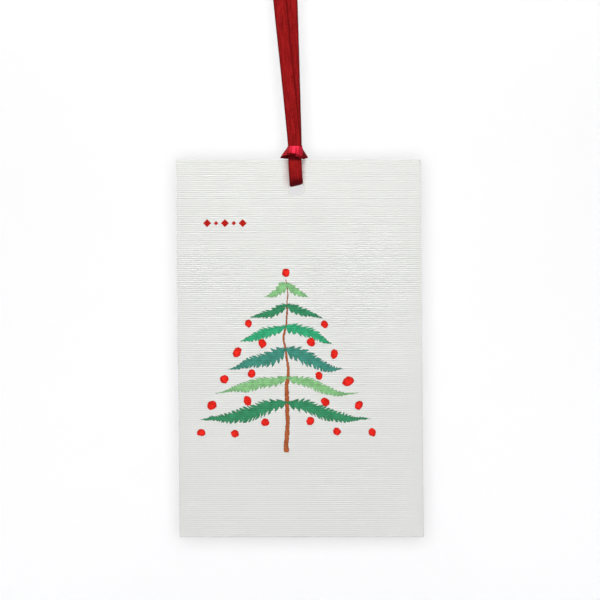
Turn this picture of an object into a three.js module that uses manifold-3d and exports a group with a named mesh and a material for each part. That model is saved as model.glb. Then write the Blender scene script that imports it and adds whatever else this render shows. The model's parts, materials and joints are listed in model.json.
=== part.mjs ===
// Christmas gift tag: a ribbed paper card hanging from a satin ribbon.
// Millimetres, +Z up, the printed face towards -Y. The origin is the hang point, where a hook
// or a twig comes between the two strands, right under the knot that ties the ribbon's ends.

import * as THREE from "three";
import { mergeVertices } from "three/addons/utils/BufferGeometryUtils.js";
import Module from "manifold-3d";

const wasm = await Module();
wasm.setup();

// Card
const cardWidth = 55;
const cardHeight = 85;
const cardThickness = 0.45;
const cardCornerRadius = 0.4;
const cardSkew = 0.5; // degrees that its sides are cut out of square, its foot to the right
const holeDiameter = 3.5;
const holeDepth = 6.6; // from the card's top edge down to the hole's centre
const holeOffset = -0.46; // from the card's centreline, to the left

// Ribbon
const ribbonWidth = 3;
const ribbonThickness = 0.25;
const ribbonEdge = 0.08; // how far the selvedge is rounded off
const tailLength = 9;
const tailPlace = 0.84; // how far beside the knot's middle a tail comes out of it
const tailLean = 13; // degrees from upright, one tail to each side
const tailCut = 30; // degrees that the cut ends slant
const holeShare = 0.4; // height in the hole at which the ribbon goes through, of its radius
const loopRise = 0.55; // how far the loop reaches over the card's top edge, up into the knot
const loopBend = 0.35; // radius at which the loop turns into the hole
const loopLean = 0.37; // how far the ribbon runs over to the right from the knot to the hole

// Knot, tied alike at the card and at the ribbon's ends
const knotHeight = 2.7;
const knotTopWidth = 3.3;
const knotBaseWidth = 6.3;
const knotTopDepth = 1.7;
const knotBaseDepth = 2.6;
const wrapThickness = 0.4;
const pliesDepth = 1; // the four plies of ribbon inside the wraps
const pleatCount = 9; // pleats on each side of the lower wrap, where it fans out
const pleatDepth = 0.16;
const collarHeight = 1.2;
const collarTilt = 7; // degrees that the upper wrap runs down to the left
const liftHeight = 0.95; // how high the front of the lower wrap is lifted off its rim
const liftPlace = -1; // where that lift is highest, from the knot's middle
const liftLeft = -2.9; // where it begins and ends
const liftRight = 1.5;
const wrapFlare = 1.2; // 1 leaves the wraps' sides straight, more spreads them at the base
const wingSharpness = 0.45; // 0 leaves the wraps oval, more draws their sides to points

// Clearances
const joinGap = 0.3; // between two stretches of the ribbon, and over the card's top edge
const lieGap = 0.1; // between the ribbon and the card's face that it lies on
const rimGap = 0.2; // between the ribbon's edges and the rim of the hole
const swingRoom = 1.2; // free height under the knot, where the ribbon bends as the card swings

// Fineness
const wrapLevels = 6;
const wrapSides = 54;
const loopSteps = 56;

// The two strands from the hang point down to the card's knot, as they hang in front view
// and one before the other. Each point is the middle of the ribbon.
const frontStrand = [
  [-1.45, -0.27, -0.3],
  [-1.19, -0.28, -3],
  [-0.9, -0.29, -5.8],
  [-0.62, -0.3, -8.6],
  [-0.33, -0.31, -11.4],
  [-0.02, -0.32, -14.2],
  [0.27, -0.33, -17],
  [0.57, -0.34, -19.8],
  [0.87, -0.35, -22.6],
  [1.15, -0.36, -25.4],
  [1.43, -0.37, -28.2],
  [1.71, -0.38, -31],
  [1.98, -0.39, -33.6],
  [2.21, -0.4, -36.1],
  [2.4, -0.4, -38.6],
];
const rearStrand = [
  [1.4, 0.27, -0.3],
  [1.5, 0.28, -3],
  [1.6, 0.29, -5.8],
  [1.69, 0.3, -8.6],
  [1.78, 0.31, -11.4],
  [1.87, 0.32, -14.2],
  [1.95, 0.33, -17],
  [2.03, 0.34, -19.8],
  [2.11, 0.35, -22.6],
  [2.19, 0.36, -25.4],
  [2.27, 0.37, -28.2],
  [2.35, 0.38, -31],
  [2.43, 0.39, -33.6],
  [2.5, 0.4, -36.1],
  [2.55, 0.4, -38.6],
];

// Places that follow from the sizes
const lowerEnd = frontStrand.at(-1);
const knotX = (lowerEnd[0] + rearStrand.at(-1)[0]) / 2;
const knotTop = lowerEnd[2] - joinGap;
const knotBase = knotTop - knotHeight;
const cardTop = knotBase - joinGap;
const holeX = knotX + loopLean;
const cardX = holeX - holeOffset;
const holeZ = cardTop - holeDepth;
const holeRadius = holeDiameter / 2;

const degrees = THREE.MathUtils.degToRad;

const paper = () =>
  new THREE.MeshStandardMaterial({ color: 0xe9e9e5, roughness: 0.85, metalness: 0 });
const satin = () =>
  new THREE.MeshStandardMaterial({ color: 0x991b1f, roughness: 0.45, metalness: 0 });

// A closed geometry as a solid that can be joined and cut.
function solid(geometry) {
  const bare = geometry.clone();
  bare.deleteAttribute("normal");
  bare.deleteAttribute("uv");
  const merged = mergeVertices(bare, 1e-4);
  const vertProperties = new Float32Array(merged.attributes.position.array);
  const triVerts = new Uint32Array(merged.index.array);
  return new wasm.Manifold(new wasm.Mesh({ numProp: 3, vertProperties, triVerts }));
}

function geometryOf(manifold) {
  const { vertProperties, triVerts } = manifold.getMesh();
  const geometry = new THREE.BufferGeometry();
  geometry.setAttribute("position", new THREE.BufferAttribute(vertProperties, 3));
  geometry.setIndex(new THREE.BufferAttribute(triVerts, 1));
  geometry.computeVertexNormals();
  return geometry;
}

// Moves every vertex of a geometry by a rule that changes the point it is given.
function reshape(geometry, rule) {
  const positions = geometry.attributes.position;
  const point = new THREE.Vector3();
  for (let i = 0; i < positions.count; i += 1) {
    point.fromBufferAttribute(positions, i);
    rule(point);
    positions.setXYZ(i, point.x, point.y, point.z);
  }
  geometry.computeVertexNormals();
  return geometry;
}

// The ribbon's section: a flat strip with its selvedges rounded off, eight sides in all.
function ribbonSection() {
  const side = ribbonWidth / 2;
  const face = ribbonThickness / 2;
  const quarter = [
    [side, face - ribbonEdge],
    [side - ribbonEdge, face],
  ];
  const corners = [
    ...quarter,
    ...quarter.map(([x, y]) => [-x, y]).reverse(),
    ...quarter.map(([x, y]) => [-x, -y]),
    ...quarter.map(([x, y]) => [x, -y]).reverse(),
  ];
  return new THREE.Shape(corners.map(([x, y]) => new THREE.Vector2(x, y)));
}

// Keeps a ribbon flat along its path: its width stays level, along X, however the path turns.
function levelFrames(segments) {
  const frames = { tangents: [], normals: [], binormals: [] };
  for (let i = 0; i <= segments; i += 1) {
    const tangent = this.getTangentAt(i / segments);
    const across = new THREE.Vector3(1, 0, 0).addScaledVector(tangent, -tangent.x).normalize();
    frames.tangents.push(tangent);
    frames.normals.push(across);
    frames.binormals.push(new THREE.Vector3().crossVectors(tangent, across));
  }
  return frames;
}

function ribbonAlong(path, steps) {
  path.computeFrenetFrames = levelFrames;
  return new THREE.ExtrudeGeometry(ribbonSection(), { extrudePath: path, steps });
}

function strand(route) {
  const path = new THREE.CatmullRomCurve3(route.map((point) => new THREE.Vector3(...point)));
  return ribbonAlong(path, route.length - 1);
}

// The card: its sides cut a little out of square and its corners worn round, with the punched
// hole for the ribbon.
function card() {
  const left = cardX - cardWidth / 2;
  const right = left + cardWidth;
  const bottom = cardTop - cardHeight;
  const skew = cardHeight * Math.tan(degrees(cardSkew));
  const r = cardCornerRadius;
  const outline = new THREE.Shape();
  outline.moveTo(left + skew + r, bottom);
  outline.lineTo(right + skew - r, bottom);
  outline.absarc(right + skew - r, bottom + r, r, -Math.PI / 2, 0, false);
  outline.lineTo(right, cardTop - r);
  outline.absarc(right - r, cardTop - r, r, 0, Math.PI / 2, false);
  outline.lineTo(left + r, cardTop);
  outline.absarc(left + r, cardTop - r, r, Math.PI / 2, Math.PI, false);
  outline.lineTo(left + skew, bottom + r);
  outline.absarc(left + skew + r, bottom + r, r, Math.PI, Math.PI * 1.5, false);
  const hole = new THREE.Path();
  hole.absarc(holeX, holeZ, holeRadius, 0, Math.PI * 2, true);
  outline.holes.push(hole);
  const sheet = new THREE.ExtrudeGeometry(outline, {
    depth: cardThickness,
    bevelEnabled: false,
    curveSegments: 24,
  });
  return sheet.rotateX(Math.PI / 2).translate(0, cardThickness / 2, 0);
}

// The ribbon through the card: from under the knot down the printed face, through the top of
// the hole, and up the back. It is drawn in at the hole, which is round where the ribbon is flat.
function holeLoop() {
  const stand = cardThickness / 2 + lieGap + ribbonThickness / 2;
  const top = cardTop + loopRise;
  const through = holeZ + holeRadius * holeShare;
  const along = (z) => THREE.MathUtils.mapLinear(z, top, through, knotX, holeX);
  const at = (y, z) => new THREE.Vector3(along(z), y, z);
  const turn = (y, side) => [
    at(side * stand, through + loopBend),
    at(side * stand, through),
    at(y, through),
  ];
  const inward = stand - loopBend;
  const path = new THREE.CurvePath();
  path.add(new THREE.LineCurve3(at(-stand, top), at(-stand, through + loopBend)));
  path.add(new THREE.QuadraticBezierCurve3(...turn(-inward, -1)));
  path.add(new THREE.LineCurve3(at(-inward, through), at(inward, through)));
  path.add(new THREE.QuadraticBezierCurve3(...turn(inward, 1).reverse()));
  path.add(new THREE.LineCurve3(at(stand, through + loopBend), at(stand, top)));

  const rise = through + ribbonThickness / 2 - holeZ;
  const halfRoom = Math.sqrt(Math.max(0, (holeRadius - rimGap) ** 2 - rise ** 2));
  const drawnIn = Math.min(1, (halfRoom * 2) / ribbonWidth);
  const drawStart = holeZ + holeRadius * 1.5;
  return reshape(ribbonAlong(path, loopSteps), (point) => {
    const middle = along(point.z);
    const share = THREE.MathUtils.smoothstep(drawStart - point.z, 0, holeRadius);
    point.x = middle + (point.x - middle) * THREE.MathUtils.lerp(1, drawnIn, share);
  });
}

// One wrap of the knot: a band round the strands, flat from front to back, drawn to a wing at
// each side and flaring towards its base, where it may fan out in pleats. Widths and depths are
// measured outside, at its top and at its base.
function wrap({ height, topWidth, baseWidth, topDepth, baseDepth, pleats = 0 }) {
  const flare = (top, base, share) => THREE.MathUtils.lerp(top, base, (1 - share) ** wrapFlare);
  const outside = [];
  for (let level = 0; level <= wrapLevels; level += 1) {
    const share = level / wrapLevels;
    outside.push(new THREE.Vector2(flare(topWidth, baseWidth, share) / 2, height * share));
  }
  const inside = outside.map(({ x, y }) => new THREE.Vector2(x - wrapThickness, y)).reverse();
  const band = new THREE.LatheGeometry([...outside, ...inside, outside[0]], wrapSides);
  return reshape(band.rotateX(Math.PI / 2), (point) => {
    const share = Math.min(1, point.z / height);
    const flatness = flare(topDepth, baseDepth, share) / flare(topWidth, baseWidth, share);
    const angle = Math.atan2(point.y, point.x);
    const across = Math.sin(angle);
    const swell = pleats * (1 - share) * Math.cos(angle * pleatCount * 2) * Math.abs(across);
    const radius = Math.hypot(point.x, point.y) + swell;
    point.x = Math.cos(angle) * radius;
    point.y = Math.sign(across) * Math.abs(across) ** (1 + wingSharpness) * radius * flatness;
  });
}

// A cutter for the knot: a shape in front view, drawn out from one depth to another.
function cutter(shape, front, back) {
  const depth = back - front;
  const block = new THREE.ExtrudeGeometry(shape, { depth, bevelEnabled: false, curveSegments: 8 });
  return solid(block.rotateX(Math.PI / 2).translate(0, back, 0));
}

// The overhand knot of the doubled ribbon, its base at z = 0 and its middle at x = 0. The lower
// wrap fans out to two wings and is lifted in front, and the upper one binds it.
function knot() {
  const plies = new THREE.BoxGeometry(ribbonWidth, pliesDepth, knotHeight);
  const core = solid(plies.translate(0, 0, knotHeight / 2));
  const skirt = wrap({
    height: knotHeight - joinGap * 2,
    topWidth: knotTopWidth,
    baseWidth: knotBaseWidth,
    topDepth: knotTopDepth,
    baseDepth: knotBaseDepth,
    pleats: pleatDepth,
  });
  const collar = wrap({
    height: collarHeight,
    topWidth: knotTopWidth + ribbonThickness,
    baseWidth: knotTopWidth + ribbonThickness * 5,
    topDepth: knotTopDepth + ribbonThickness,
    baseDepth: knotTopDepth + ribbonThickness * 3,
  });
  collar.rotateY(-degrees(collarTilt)).translate(0, 0, knotHeight - joinGap - collarHeight);
  const lift = new THREE.Shape();
  lift.moveTo(liftLeft, -joinGap);
  lift.lineTo(liftRight, -joinGap);
  lift.quadraticCurveTo(liftRight, liftHeight * 0.6, liftPlace, liftHeight);
  lift.quadraticCurveTo(liftLeft, liftHeight * 0.8, liftLeft, -joinGap);
  const lifted = solid(skirt).subtract(cutter(lift, -knotBaseDepth, 0));
  return core.add(lifted).add(solid(collar));
}

// The knot at the card, with the way through under it where the ribbon comes out to the card.
function cardKnot() {
  const half = ribbonWidth / 2 + joinGap;
  const high = swingRoom - joinGap;
  const shoulder = high * 0.7;
  const way = new THREE.Shape();
  way.moveTo(-half, -joinGap);
  way.lineTo(half, -joinGap);
  way.lineTo(half, shoulder);
  way.quadraticCurveTo(half * 0.8, high, 0, high);
  way.quadraticCurveTo(-half * 0.8, high, -half, shoulder);
  const opened = knot().subtract(cutter(way, -knotBaseDepth, knotBaseDepth));
  return geometryOf(opened).translate(knotX, 0, knotBase);
}

// A free end of the ribbon above the end knot, leaning out to one side, cut off at a slant.
function tail(side) {
  const lean = degrees(tailLean) * side;
  const start = new THREE.Vector3(
    side * tailPlace,
    side * (ribbonThickness / 2 + joinGap / 2),
    knotHeight + joinGap + Math.sin(Math.abs(lean)) * (ribbonWidth / 2),
  );
  const end = start
    .clone()
    .add(new THREE.Vector3(Math.sin(lean), 0, Math.cos(lean)).multiplyScalar(tailLength));
  const middle = start.clone().lerp(end, 0.5);
  return reshape(ribbonAlong(new THREE.CatmullRomCurve3([start, middle, end]), 4), (point) => {
    if (point.z > middle.z + tailLength / 4) {
      point.z -= side * (point.x - end.x) * Math.tan(degrees(tailCut));
    }
  });
}

function piece(name, geometry, material) {
  const mesh = new THREE.Mesh(geometry, material);
  mesh.name = name;
  return mesh;
}

const tag = new THREE.Group();
tag.add(
  piece("tag_card", card(), paper()),
  piece("ribbon_hole_loop", holeLoop(), satin()),
  piece("ribbon_knot", cardKnot(), satin()),
  piece("ribbon_front_strand", strand(frontStrand), satin()),
  piece("ribbon_rear_strand", strand(rearStrand), satin()),
  piece("ribbon_end_knot", geometryOf(knot()), satin()),
  piece("ribbon_left_tail", tail(-1), satin()),
  piece("ribbon_right_tail", tail(1), satin()),
);

export default tag;
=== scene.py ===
"""Christmas gift tag: a ribbed card with a small painted fir tree, hanging from a satin ribbon.

Every piece is in metres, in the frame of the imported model. The printed face looks towards -Y and
the origin is the hang point, right under the knot in the ribbon's ends.
"""

import json
import math

import bmesh
import bpy
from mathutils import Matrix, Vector, noise
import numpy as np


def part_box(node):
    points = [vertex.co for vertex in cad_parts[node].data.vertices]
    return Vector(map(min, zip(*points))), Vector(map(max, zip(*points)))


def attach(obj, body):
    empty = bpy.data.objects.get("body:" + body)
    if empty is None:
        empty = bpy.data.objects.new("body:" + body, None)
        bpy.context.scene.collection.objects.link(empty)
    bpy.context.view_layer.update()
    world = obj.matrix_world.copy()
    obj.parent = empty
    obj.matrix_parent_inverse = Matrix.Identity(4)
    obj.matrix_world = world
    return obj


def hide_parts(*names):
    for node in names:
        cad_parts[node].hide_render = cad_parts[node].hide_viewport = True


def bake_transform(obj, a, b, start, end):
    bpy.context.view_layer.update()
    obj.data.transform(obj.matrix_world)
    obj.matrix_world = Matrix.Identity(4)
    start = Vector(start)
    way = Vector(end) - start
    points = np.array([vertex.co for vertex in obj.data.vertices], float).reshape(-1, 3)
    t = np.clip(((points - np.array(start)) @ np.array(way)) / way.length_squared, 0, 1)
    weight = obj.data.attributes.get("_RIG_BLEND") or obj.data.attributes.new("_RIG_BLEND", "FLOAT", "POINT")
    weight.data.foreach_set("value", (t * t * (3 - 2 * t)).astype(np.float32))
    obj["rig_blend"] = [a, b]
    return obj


bl_info = {
    "name": "Christmas Gift Tag",
    "version": (1, 0, 0),
    "blender": (4, 5, 0),
    "location": "View3D > Sidebar > Gift Tag",
    "description": "Builds a ribbed gift tag on a knotted satin ribbon, and the stage it hangs in",
    "category": "Object",
}

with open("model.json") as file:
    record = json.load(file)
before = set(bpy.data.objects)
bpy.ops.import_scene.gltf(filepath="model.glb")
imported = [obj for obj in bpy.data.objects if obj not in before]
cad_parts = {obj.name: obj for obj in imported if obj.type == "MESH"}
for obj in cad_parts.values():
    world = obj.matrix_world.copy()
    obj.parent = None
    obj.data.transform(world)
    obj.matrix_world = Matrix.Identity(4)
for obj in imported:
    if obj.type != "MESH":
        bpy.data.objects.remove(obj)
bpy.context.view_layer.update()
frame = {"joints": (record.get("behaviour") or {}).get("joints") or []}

MM = 0.001
CARD_LOW, CARD_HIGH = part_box("tag_card")
CARD_TOP = CARD_HIGH.z
JOINTS = {joint["name"]: joint for joint in frame["joints"]}
KNOT_X = JOINTS["ribbon_twist"]["pos_m"][0]
KNOT_CLEARANCE = 0.18 * MM  # over the card, which tilts and swings right under its knot
HOLE = Vector((2.845 * MM, 0, -48.5 * MM))
HOLE_RADIUS = 1.75 * MM
TAIL_LEAN = math.radians(13)
TAIL_CUT = math.radians(30)
AIM = Vector((3.66 * MM, 0, -73.5 * MM))  # what the camera and the lamps look at

# The two strands as they hang, from the hang point down to the knot at the card, in millimetres.
FRONT_STRAND = [
    (-1.45, -0.27, -0.3), (-1.19, -0.28, -3), (-0.9, -0.29, -5.8),
    (-0.62, -0.3, -8.6), (-0.33, -0.31, -11.4), (-0.02, -0.32, -14.2),
    (0.27, -0.33, -17), (0.57, -0.34, -19.8), (0.87, -0.35, -22.6),
    (1.15, -0.36, -25.4), (1.43, -0.37, -28.2), (1.71, -0.38, -31),
    (1.98, -0.39, -33.6), (2.21, -0.4, -36.1), (2.4, -0.4, -38.6),
]
REAR_STRAND = [
    (1.4, 0.27, -0.3), (1.5, 0.28, -3), (1.6, 0.29, -5.8),
    (1.69, 0.3, -8.6), (1.78, 0.31, -11.4), (1.87, 0.32, -14.2),
    (1.95, 0.33, -17), (2.03, 0.34, -19.8), (2.11, 0.35, -22.6),
    (2.19, 0.36, -25.4), (2.27, 0.37, -28.2), (2.35, 0.38, -31),
    (2.43, 0.39, -33.6), (2.5, 0.4, -36.1), (2.55, 0.4, -38.6),
]


# Sizes and colours that a user would change


def number(name, description, default, **kind):
    """A number to be set, with its unit or subtype."""
    return bpy.props.FloatProperty(name=name, description=description, default=default, **kind)


def metres(name, description, default):
    return number(name, description, default, unit="LENGTH")


def watts(name, description, default):
    return number(name, description, default, unit="POWER")


def fraction(name, description, default):
    return number(name, description, default, subtype="FACTOR", min=0, max=1)


def tone(name, description, default):
    return bpy.props.FloatVectorProperty(
        name=name, description=description, default=default, subtype="COLOR", min=0, max=1
    )


class GiftTagCard(bpy.types.PropertyGroup):
    width: metres("Width", "Width of the card", 0.055)
    skew: number(
        "Skew", "How far the sides are cut out of square", math.radians(0.5), subtype="ANGLE"
    )
    corner: metres("Corner", "Radius to which the corners are worn", 0.0003)
    rib_pitch: metres("Rib pitch", "Distance from one embossed rib to the next", 0.0004503)
    rib_depth: metres("Rib depth", "Height of a rib over its groove", 0.00007)
    edge: metres("Edge", "Radius to which the cut edges are softened", 0.00006)
    colour: tone("Stock", "Colour of the card stock", (0.767, 0.771, 0.76))


class GiftTagPrint(bpy.types.PropertyGroup):
    red: tone("Red", "Colour of the baubles and the small rule", (0.66, 0.01, 0.003))
    brown: tone("Brown", "Colour of the trunk", (0.34, 0.085, 0.022))
    dark: tone("Dark green", "Colour of the deepest boughs", (0.008, 0.19, 0.075))
    teal: tone("Teal", "Colour of the cool boughs", (0.02, 0.2, 0.145))
    bright: tone("Bright green", "Colour of the freshest boughs", (0.005, 0.3, 0.13))
    pale: tone("Pale green", "Colour of the lightest boughs", (0.18, 0.42, 0.17))


class GiftTagRibbon(bpy.types.PropertyGroup):
    width: metres("Width", "Width of the ribbon", 0.003)
    thickness: metres("Thickness", "Thickness of the ribbon", 0.00025)
    cup: metres("Cup", "How far the middle of the ribbon bows out of its edges", 0.00008)
    tail_length: metres("Tail", "Length of each free end over the upper knot", 0.009)
    colour: tone("Satin", "Colour of the satin", (0.232, 0.0072, 0.0062))


class GiftTagKnot(bpy.types.PropertyGroup):
    height: metres("Height", "Height of a knot", 0.0029)
    top_width: metres("Top width", "Width of a knot at its top", 0.0033)
    base_width: metres("Base width", "Width of a knot from wing to wing", 0.0063)
    top_depth: metres("Top depth", "Depth of a knot at its top", 0.0017)
    base_depth: metres("Base depth", "Depth of a knot at its base", 0.0026)
    lift: metres("Lift", "How far the front edge of the lower knot is raised", 0.00095)
    wrap_thickness: metres("Wrap thickness", "Thickness of the ribbon in the wraps", 0.0003)
    pleats: metres("Pleats", "Depth of the pleats in which a wrap fans out", 0.00013)


class GiftTagStage(bpy.types.PropertyGroup):
    distance: metres("Camera", "Distance from the camera to the card", 1.2)
    frame_width: metres("Frame", "Width of the picture at the card", 0.1351)
    wall: metres("Wall distance", "Distance from the card back to the wall", 0.1)
    floor: metres("Floor height", "Height of the floor", -0.15)
    wall_albedo: fraction("Wall tone", "Share of the light that the wall throws back", 0.905)
    wall_glow: fraction("Wall glow", "What the wall adds in the camera's eyes", 0.01)
    floor_albedo: fraction("Floor tone", "Share of the light that the floor throws back", 0.35)
    floor_glow: fraction("Floor glow", "What the floor adds in the camera's eyes", 0.6)
    ambient: fraction("Ambient", "Strength of the light from all round", 0.32)
    key: watts("Key", "Power of the soft lamp above", 0.76)
    front: watts("Front", "Power of the small lamp beside the camera", 5.6)


# Meshes


def mesh_object(name, bm):
    """Makes a smooth piece of a finished bmesh."""
    mesh = bpy.data.meshes.new(name)
    bm.to_mesh(mesh)
    bm.free()
    mesh.shade_smooth()
    piece = bpy.data.objects.new(name, mesh)
    bpy.context.collection.objects.link(piece)
    return piece


def ribbon_object(name, bm):
    """Makes a piece of swept ribbon, without the layer that only its sweep needed."""
    bm.verts.layers.float.remove(bm.verts.layers.float["turn"])
    return mesh_object(name, bm)


def in_metres(points):
    return [Vector(point) * MM for point in points]


def smooth_route(points, steps):
    """Points along the smooth curve through a route, steps of them from point to point."""
    route = [points[0] * 2 - points[1], *points, points[-1] * 2 - points[-2]]
    curve = []
    for before, start, end, after in zip(route, route[1:], route[2:], route[3:]):
        for step in range(steps):
            t = step / steps
            curve.append(
                (
                    start * 2
                    + (end - before) * t
                    + (before * 2 - start * 5 + end * 4 - after) * t**2
                    + (start * 3 - before - end * 3 + after) * t**3
                )
                / 2
            )
    return [*curve, route[-2]]


def sweep(bm, sides, stations, place, closed=False):
    """Sweeps a ribbon's section from station to station, round and back again if it is closed.

    place gives, for a station and a turn round the section, the point there, how far across the
    ribbon it lies from -1 to 1, how far along it lies in metres, and its shine and painted light:
    1 where it is drawn tight, shines and is painted lighter, and -1 where it is painted in shade, as in its
    folds and under the knot.
    """
    layers = bm.verts.layers.float
    turn, across, along, tension = (
        layers.get(name) or layers.new(name) for name in ("turn", "across", "along", "tension")
    )
    ring = bmesh.ops.create_circle(bm, segments=sides, radius=1)["verts"]
    edges = list({edge for vert in ring for edge in vert.link_edges})
    for vert in ring:
        vert[turn] = math.atan2(vert.co.y, vert.co.x)
    made = list(ring)
    for station in range(stations + 1):
        if station:
            geometry = bmesh.ops.extrude_edge_only(bm, edges=edges)["geom"]
            ring = [item for item in geometry if isinstance(item, bmesh.types.BMVert)]
            new = set(ring)
            edges = [
                item
                for item in geometry
                if isinstance(item, bmesh.types.BMEdge) and new.issuperset(item.verts)
            ]
            made.extend(ring)
        for vert in ring:
            vert.co, vert[across], vert[along], vert[tension] = place(station, vert[turn])
    if closed:
        bmesh.ops.remove_doubles(bm, verts=made, dist=1e-8)
    else:
        rims = [edge for edge in bm.edges if edge.is_boundary]
        bmesh.ops.holes_fill(bm, edges=rims, sides=0)
    bmesh.ops.recalc_face_normals(bm, faces=bm.faces)


def flattened(value, power):
    """A value from -1 to 1 raised to a power, with its sign kept. Small powers square a circle."""
    return math.copysign(abs(value) ** power, value)


def flat_section(turn):
    """How far across and how far through the ribbon a turn round its section lies, -1 to 1."""
    return flattened(math.cos(turn), 0.4), flattened(math.sin(turn), 0.4)


def level_frame(line, index):
    """The ribbon's directions across and out of its face, with its width kept level."""
    tangent = (line[min(index + 1, len(line) - 1)] - line[max(index - 1, 0)]).normalized()
    across = (Vector((1, 0, 0)) - tangent * tangent.x).normalized()
    return across, tangent.cross(across)


def lengths_along(line):
    """How far along the line each of its points lies."""
    total = [0.0]
    for before, after in zip(line, line[1:]):
        total.append(total[-1] + (after - before).length)
    return total


def smoothstep(low, high, value):
    """0 up to low and 1 from high, with a smooth rise between them."""
    t = min(max((value - low) / (high - low), 0), 1)
    return t * t * (3 - 2 * t)


def mix(start, end, share):
    """From start at a share of 0 to end at 1."""
    return start + (end - start) * share


def ribbon_piece(name, line, sizes, shape):
    """A ribbon along a line of points.

    shape(share, across, point) gives, for a share of the length, a place across the width and the
    point of the line there, the share of the width that is left, how far the ribbon is pushed out
    of its face and how far up, in metres, and its shine and painted light, as in sweep.
    """
    total = lengths_along(line)

    def place(station, turn):
        side, face = flat_section(turn)
        across, out = level_frame(line, station)
        share = total[station] / total[-1]
        width, push, rise, tension = shape(share, side, line[station])
        point = line[station] + across * (side * sizes.width / 2 * width)
        point += out * (face * sizes.thickness / 2 + push) + Vector((0, 0, rise))
        return point, side, total[station], tension

    bm = bmesh.new()
    sweep(bm, 32, len(line) - 1, place)
    return ribbon_object(name, bm)


# Knots


def wrap(bm, spot, sizes, seed, outline, drawn_tight):
    """One wrap of a knot: the ribbon led round the strands, as a closed band with pleats.

    outline(level, cosine, sine) gives the place of its outer face, from its upper edge at level 0
    to its lower edge at 1, for a direction round the knot, and its shine and painted light there.
    """
    stations = 132

    def place(station, turn):
        side, face = flat_section(turn)
        level = max(0, (1 - side) / 2)
        angle = math.tau * station / stations
        cosine, sine = math.cos(angle), math.sin(angle)
        ripple = math.sin(angle * 9 + seed) * 0.5 + math.sin(angle * 15 + seed * 2.3 + level) * 0.3
        ripple += noise.noise(Vector((cosine * 2, sine * 2, seed + level)))
        push = sizes.pleats * ripple * (0.25 + level * 0.75) * (0.6 if drawn_tight else 1)
        push += (face - 1) * sizes.wrap_thickness / 2
        point, tension = outline(level, cosine, sine)
        # Its inner face is painted in shade.
        if face < 0:
            tension = -1
        point += spot + Vector((cosine, sine, 0)) * push
        return point, side, angle * sizes.top_width, tension

    sweep(bm, 24, stations, place, closed=True)


def knot_outlines(sizes, lift):
    """The two wraps of a knot: one that fans out to both wings, and the band drawn over it.

    lift is how far the front of both lower edges is raised, so that one can look in under them.
    """
    left, right = sizes.top_width * 0.45, sizes.top_width * 0.53
    wing_left, wing_right = sizes.base_width * 0.525, sizes.base_width * 0.475
    lift_middle, lift_left, lift_right = -0.9 * MM, 2.2 * MM, 2.1 * MM

    def raised(x):
        away = x - lift_middle
        reach = away / (lift_left if away < 0 else lift_right)
        return lift * math.exp(-(abs(reach) ** 2.4))

    def fan(level, cosine, sine):
        if cosine < 0:
            half_width = mix(left, wing_left, level**0.75)
        else:
            half_width = mix(right, wing_right, smoothstep(0, 1, level))
        x = cosine * half_width
        front = smoothstep(0, 0.35, -sine)
        half_depth = mix(sizes.top_depth * 0.38, sizes.base_depth * 0.38, level)
        half_depth += sizes.base_depth * 0.15 * smoothstep(0.5, 1, level) * front
        y = flattened(sine, 1.3) * half_depth
        height = mix(sizes.height * 0.9, 0, level) + raised(x) * front * level**2
        # The wings' tips curl up, and what stands out at the front sags, most on the right.
        height += 0.14 * MM * smoothstep(2 * MM, 3 * MM, abs(x)) * level
        proud = smoothstep(0.5 * MM, 0.9 * MM, abs(y)) * front
        height -= 0.2 * MM * proud * level * mix(0.2, 1, smoothstep(-0.4 * MM, 0.4 * MM, x))
        # A painted highlight on the front, and painted shade on the right wing, away from the key lamp.
        tension = 0.3 * front - 1.3 * smoothstep(1.2 * MM, 1.9 * MM, x) * front
        return Vector((x, y, height)), tension

    def band(level, cosine, sine):
        top, base = (left, 0.7) if cosine < 0 else (right, 0.55)
        x = cosine * mix(top, sizes.top_width * base, level)
        half_depth = mix(sizes.top_depth * 0.34, sizes.base_depth * 0.56, level**0.85)
        front = smoothstep(0, 0.35, -sine)
        lower = mix(sizes.height * 0.45, raised(x) + 0.18 * MM, front)
        height = mix(sizes.height * 1.05, lower, level)
        power = mix(0.9, 0.5, smoothstep(0, 0.5, cosine) * front)
        # A painted highlight over the band's front, weaker towards its left.
        tension = mix(0.4, 1, front) * mix(0.35, 1, smoothstep(-1.4 * MM, -0.6 * MM, x))
        return Vector((x, flattened(sine, power) * half_depth, height)), tension

    return fan, band


def gathered_core(bm, spot, half_width, half_depth, low, high, seed):
    """The plies of ribbon that run up through a knot, gathered into folds."""
    stations = 10

    def place(station, turn):
        share = station / stations
        fold = 1 + 0.1 * math.sin(turn * 7 + seed) + 0.05 * math.sin(turn * 12 + share * 2)
        pinch = 1 - 0.12 * math.sin(math.pi * share)
        x = math.cos(turn) * half_width * fold * pinch
        y = flattened(math.sin(turn), 0.7) * half_depth * fold * pinch
        # The plies inside the knot are painted half in shade.
        return spot + Vector((x, y, mix(low, high, share))), math.cos(turn), share * 0.002, -0.5

    sweep(bm, 40, stations, place)


def knot_piece(name, spot, sizes, lift, seed, core_low):
    """An overhand knot round the gathered plies of the ribbon."""
    bm = bmesh.new()
    half_width, half_depth = sizes.top_width * 0.44, sizes.top_depth * 0.3
    gathered_core(bm, spot, half_width, half_depth, core_low, sizes.height * 0.96, seed)
    fan, band = knot_outlines(sizes, lift)
    wrap(bm, spot, sizes, seed, fan, drawn_tight=False)
    wrap(bm, spot, sizes, seed + 4, band, drawn_tight=True)
    return ribbon_object(name, bm)


# Finishes


def feed(tree, node, inputs):
    """Sets or links a node's inputs, by name or by place."""
    for name, value in inputs.items():
        if isinstance(value, bpy.types.NodeSocket):
            tree.links.new(value, node.inputs[name])
        else:
            node.inputs[name].default_value = value


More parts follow.
